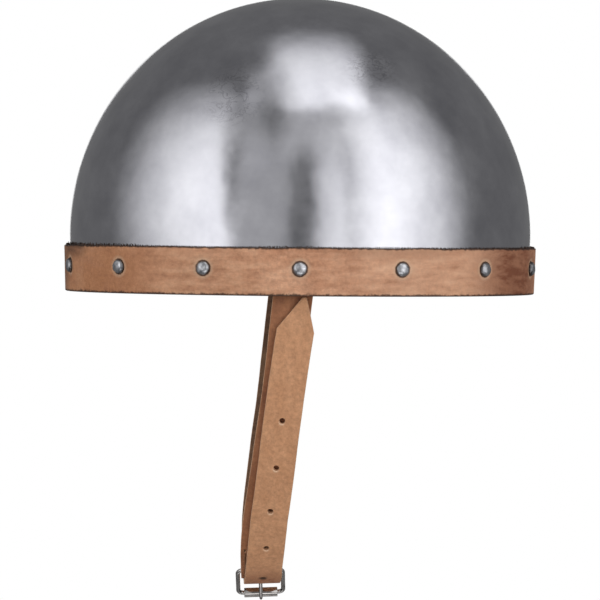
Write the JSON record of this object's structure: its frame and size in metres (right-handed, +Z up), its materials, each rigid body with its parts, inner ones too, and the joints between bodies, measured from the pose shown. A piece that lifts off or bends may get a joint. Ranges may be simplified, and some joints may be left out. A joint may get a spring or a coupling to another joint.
{
  "type": "steel skull cap",
  "caption": "Plain domed steel skull cap with a riveted leather rim band, tongued leather lining and a leather chin strap on a roller buckle.",
  "frame": {"origin": "The middle of the head opening, in the plane of the rim band's lower edge.", "axes": "+Z runs up to the crown, the face looks to -X and the wearer's left is -Y."},
  "size_m": [0.2354, 0.205, 0.3008],
  "materials": {
    "polished_steel": "satin polish with faint hammer marks",
    "band_leather": "natural tan, fine grain, raw edges",
    "strap_leather": "natural tan, smooth, raw edges",
    "lining_leather": "soft brown, matt",
    "lace_leather": "dark brown thong",
    "rivet_steel": "domed, bright, dark in the seat",
    "buckle_steel": "bright plated wire"
  },
  "bodies": {
    "helmet": {"steel_skull": "polished_steel", "rim_band": "band_leather", "lining": "lining_leather", "crown_lace": "lace_leather", "rim_rivet_01": "rivet_steel", "rim_rivet_02": "rivet_steel", "rim_rivet_03": "rivet_steel", "rim_rivet_04": "rivet_steel", "rim_rivet_05": "rivet_steel", "rim_rivet_06": "rivet_steel", "rim_rivet_07": "rivet_steel", "rim_rivet_08": "rivet_steel", "rim_rivet_09": "rivet_steel", "rim_rivet_10": "rivet_steel", "rim_rivet_11": "rivet_steel", "rim_rivet_12": "rivet_steel", "rim_rivet_13": "rivet_steel", "rim_rivet_14": "rivet_steel", "rivet_burr_01": "rivet_steel", "rivet_burr_02": "rivet_steel", "rivet_burr_03": "rivet_steel", "rivet_burr_04": "rivet_steel", "rivet_burr_05": "rivet_steel", "rivet_burr_06": "rivet_steel", "rivet_burr_07": "rivet_steel", "rivet_burr_08": "rivet_steel", "rivet_burr_09": "rivet_steel", "rivet_burr_10": "rivet_steel", "rivet_burr_11": "rivet_steel", "rivet_burr_12": "rivet_steel", "rivet_burr_13": "rivet_steel", "rivet_burr_14": "rivet_steel"},
    "chin_strap": {"buckle_strap": "strap_leather", "holed_strap": "strap_leather"},
    "buckle_frame": {"buckle_frame": "buckle_steel"},
    "buckle_roller": {"buckle_roller": "buckle_steel"},
    "buckle_prong": {"buckle_prong": "buckle_steel"}
  },
  "joints": [
    {"name": "chin_strap_swing", "type": "hinge", "parent": "helmet", "child": "chin_strap", "pos_m": [-0.0015, 0, 0.013], "axis": [0, 1, 0], "range_deg": [-31, 22]},
    {"name": "buckle_frame_swing", "type": "hinge", "parent": "chin_strap", "child": "buckle_frame", "pos_m": [-0.01865, -0.01618, -0.1377], "axis": [0.9992, 0, 0.0401], "range_deg": [0, 8]},
    {"name": "prong_lift", "type": "hinge", "parent": "chin_strap", "child": "buckle_prong", "pos_m": [-0.01865, -0.01618, -0.1377], "axis": [0.9992, 0, 0.0401], "range_deg": [-3, 0]},
    {"name": "roller_spin", "type": "hinge", "parent": "buckle_frame", "child": "buckle_roller", "pos_m": [-0.01815, -0.00184, -0.15016], "axis": [0.9992, 0, 0.0401], "continuous": true}
  ]
}
